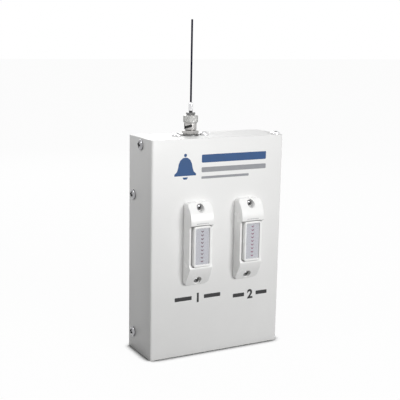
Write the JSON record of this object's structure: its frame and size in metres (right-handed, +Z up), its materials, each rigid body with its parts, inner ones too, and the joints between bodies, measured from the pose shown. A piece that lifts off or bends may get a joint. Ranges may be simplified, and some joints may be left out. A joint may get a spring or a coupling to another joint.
{
  "type": "panic button transmitter",
  "caption": "Slim folded steel radio transmitter cabinet with guarded press keys on its front and a whip antenna in a bayonet connector on its top.",
  "frame": {"origin": "middle of the cabinet's underside, on the surface it stands on", "axes": "+Z up along the cabinet's height and the antenna, -Y out of the front with the buttons, +X to the right of someone facing the front"},
  "size_m": [0.1538, 0.0676, 0.3336],
  "materials": {
    "cabinet_paint": "fine satin powder coat",
    "white_plastic": "smooth gloss",
    "grey_plastic": "matt",
    "black_plastic": "matt",
    "green_plastic": "matt",
    "board_laminate": "glass epoxy with green solder mask",
    "screw_chrome": "bright",
    "nickel_plate": "nickel plated brass, bright",
    "zinc_steel": "zinc plated",
    "contact_brass": "bright",
    "white_insulator": "waxy",
    "red_silicone": "matt",
    "whip_coating": "near-black satin coating on spring steel",
    "label_sheet": "matt printed",
    "clear_lens": "clear",
    "red_lead": "satin PVC",
    "grey_lead": "satin PVC",
    "black_lead": "satin PVC"
  },
  "bodies": {
    "cabinet": {"front_cover": "cabinet_paint", "rear_chassis": "cabinet_paint", "left_upper_screw": "screw_chrome", "left_middle_screw": "screw_chrome", "left_lower_screw": "screw_chrome", "right_upper_screw": "screw_chrome", "right_middle_screw": "screw_chrome", "right_lower_screw": "screw_chrome", "top_left_screw": "screw_chrome", "top_right_screw": "screw_chrome", "top_corner_screw": "screw_chrome", "antenna_plate": "zinc_steel", "jack_body": "nickel_plate", "jack_insulator": "white_insulator", "jack_contact": "contact_brass", "jack_washer": "nickel_plate", "jack_nut": "nickel_plate", "left_housing": "white_plastic", "left_base": "grey_plastic", "left_switch": "black_plastic", "left_housing_screw_upper": "screw_chrome", "left_housing_screw_lower": "screw_chrome", "right_housing": "white_plastic", "right_base": "grey_plastic", "right_switch": "black_plastic", "right_housing_screw_upper": "screw_chrome", "right_housing_screw_lower": "screw_chrome", "circuit_board": "board_laminate", "board_support_left_lower": "white_insulator", "board_support_left_upper": "white_insulator", "board_support_right_lower": "white_insulator", "board_support_right_upper": "white_insulator", "rf_shield": "zinc_steel", "controller_chip": "black_plastic", "terminal_block": "green_plastic", "battery": "black_plastic", "battery_bracket": "zinc_steel", "bracket_screw": "zinc_steel", "antenna_coax": "black_lead", "left_button_lead": "grey_lead", "right_button_lead": "grey_lead", "battery_lead_negative": "black_lead", "battery_lead_positive": "red_lead"},
    "antenna": {"plug_body": "nickel_plate", "plug_insulator": "white_insulator", "plug_pin": "contact_brass", "plug_gasket": "red_silicone", "plug_spring_washer": "nickel_plate", "gland_nut": "nickel_plate", "crimp_ferrule": "screw_chrome", "whip_rod": "whip_coating"},
    "bayonet_nut": {"coupling_nut": "nickel_plate"},
    "left_push_key": {"left_key": "white_plastic", "left_label": "label_sheet", "left_lens": "clear_lens", "left_plunger": "grey_plastic"},
    "right_push_key": {"right_key": "white_plastic", "right_label": "label_sheet", "right_lens": "clear_lens", "right_plunger": "grey_plastic"}
  },
  "joints": [
    {"name": "antenna_lift", "type": "slide", "parent": "cabinet", "child": "antenna", "axis": [0, 0, 1], "range_m": [0, 0.0024]},
    {"name": "coupling_nut_turn", "type": "hinge", "parent": "antenna", "child": "bayonet_nut", "pos_m": [-0.0195, 0, 0.22], "axis": [0, 0, 1], "range_deg": [0, 75]},
    {"name": "left_key_press", "type": "slide", "parent": "cabinet", "child": "left_push_key", "axis": [0, 1, 0], "range_m": [0, 0.0018], "stiffness_N_per_m": 400, "springref_m": -0.002},
    {"name": "right_key_press", "type": "slide", "parent": "cabinet", "child": "right_push_key", "axis": [0, 1, 0], "range_m": [0, 0.0018], "stiffness_N_per_m": 400, "springref_m": -0.002}
  ],
  "couplings": [
    {"joint": "coupling_nut_turn", "follows": "antenna_lift", "rad_per_m": 545.41}
  ]
}
